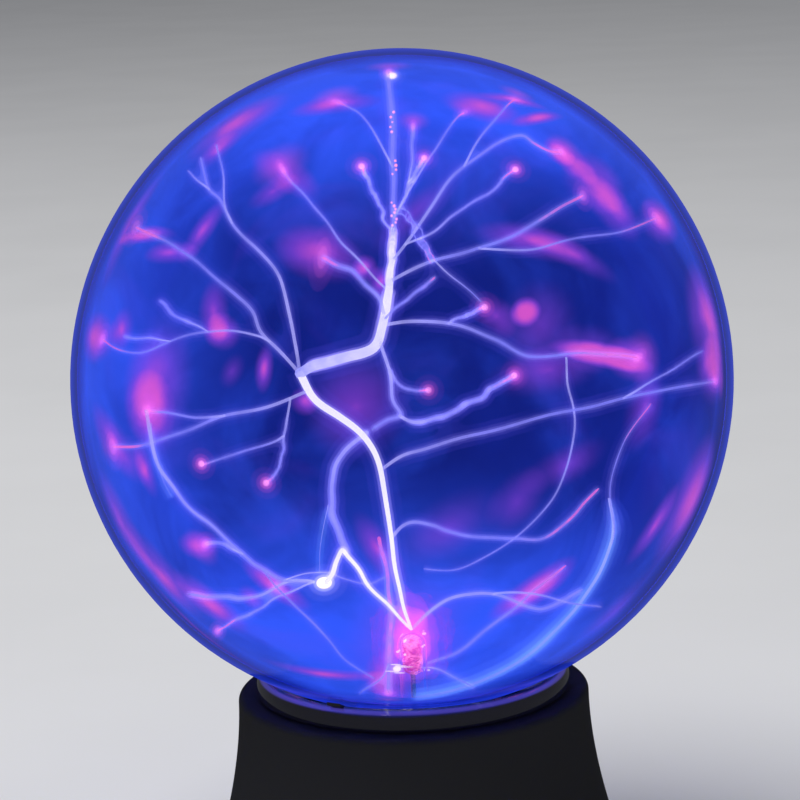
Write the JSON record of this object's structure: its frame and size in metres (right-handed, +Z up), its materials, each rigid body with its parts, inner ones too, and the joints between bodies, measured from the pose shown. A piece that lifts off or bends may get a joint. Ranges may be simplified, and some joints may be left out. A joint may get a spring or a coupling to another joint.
{
  "type": "plasma ball",
  "caption": "Glass globe that glows blue with branching violet and white filaments from a central electrode, on a flared black round base with a mode switch.",
  "frame": {"origin": "on the table, on the globe's axis, under the middle of the base", "axes": "+Z up along the globe's axis, -Y towards the front that the picture shows, +Y towards the flat facet with the mode switch and the supply socket"},
  "size_m": [0.2032, 0.2032, 0.2796],
  "materials": {
    "globe_glass": "clear blown glass that glows blue and violet from the discharge inside",
    "electrode_glass": "clear glass tube, lit pink from inside",
    "wool_steel": "fine steel wool",
    "collar_plastic": "glossy black",
    "housing_plastic": "satin black, fine grain",
    "cover_plastic": "satin black",
    "knob_plastic": "satin black with three grooves",
    "jack_plastic": "moulded black",
    "pad_rubber": "soft black rubber",
    "grommet_rubber": "black rubber",
    "foot_rubber": "black rubber",
    "sleeve_rubber": "grey rubber",
    "boot_silicone": "red-brown silicone",
    "lead_silicone": "red-brown silicone sheath",
    "lead_red": "red sheath",
    "lead_black": "black sheath",
    "rod_brass": "drawn brass",
    "pin_brass": "turned brass",
    "bracket_steel": "zinc-plated sheet",
    "switch_steel": "plated sheet",
    "screw_steel": "zinc-plated",
    "sink_aluminium": "plain aluminium",
    "microphone_aluminium": "drawn can",
    "winding_copper": "enamelled copper wire, layer-wound",
    "core_ferrite": "sintered ferrite",
    "bobbin_nylon": "natural nylon",
    "board_laminate": "green solder mask",
    "chip_epoxy": "black epoxy",
    "capacitor_sleeve": "blue shrink sleeve"
  },
  "bodies": {
    "lamp": {"base_housing": "housing_plastic", "board_screw_1": "screw_steel", "board_screw_2": "screw_steel", "board_screw_3": "screw_steel", "board_screw_4": "screw_steel", "bottom_cover": "cover_plastic", "bracket_screw_1": "screw_steel", "bracket_screw_2": "screw_steel", "bracket_screw_3": "screw_steel", "circuit_board": "board_laminate", "collar_ring": "collar_plastic", "contact_rod": "rod_brass", "control_chip": "chip_epoxy", "cover_screw_1": "screw_steel", "cover_screw_2": "screw_steel", "cover_screw_3": "screw_steel", "cover_screw_4": "screw_steel", "cushion_pad_1": "pad_rubber", "cushion_pad_2": "pad_rubber", "cushion_pad_3": "pad_rubber", "dc_jack": "jack_plastic", "dc_jack_pin": "pin_brass", "electrode_tube": "electrode_glass", "filter_capacitor": "capacitor_sleeve", "glass_globe": "globe_glass", "heat_sink": "sink_aluminium", "hv_boot": "boot_silicone", "hv_lead": "lead_silicone", "microphone": "microphone_aluminium", "microphone_lead_1": "lead_red", "microphone_lead_2": "lead_black", "microphone_sleeve": "sleeve_rubber", "mode_switch_body": "switch_steel", "neck_bracket": "bracket_steel", "neck_grommet": "grommet_rubber", "power_transistor": "chip_epoxy", "rubber_foot_1": "foot_rubber", "rubber_foot_2": "foot_rubber", "rubber_foot_3": "foot_rubber", "rubber_foot_4": "foot_rubber", "steel_wool": "wool_steel", "supply_capacitor": "capacitor_sleeve", "transformer_bobbin": "bobbin_nylon", "transformer_core_lower": "core_ferrite", "transformer_core_upper": "core_ferrite", "transformer_winding": "winding_copper", "transistor_screw": "screw_steel"},
    "switch_knob": {"mode_switch_knob": "knob_plastic"}
  },
  "joints": [
    {"name": "mode_switch_slide", "type": "slide", "parent": "lamp", "child": "switch_knob", "axis": [1, 0, 0], "range_m": [-0.003, 0.003]}
  ]
}
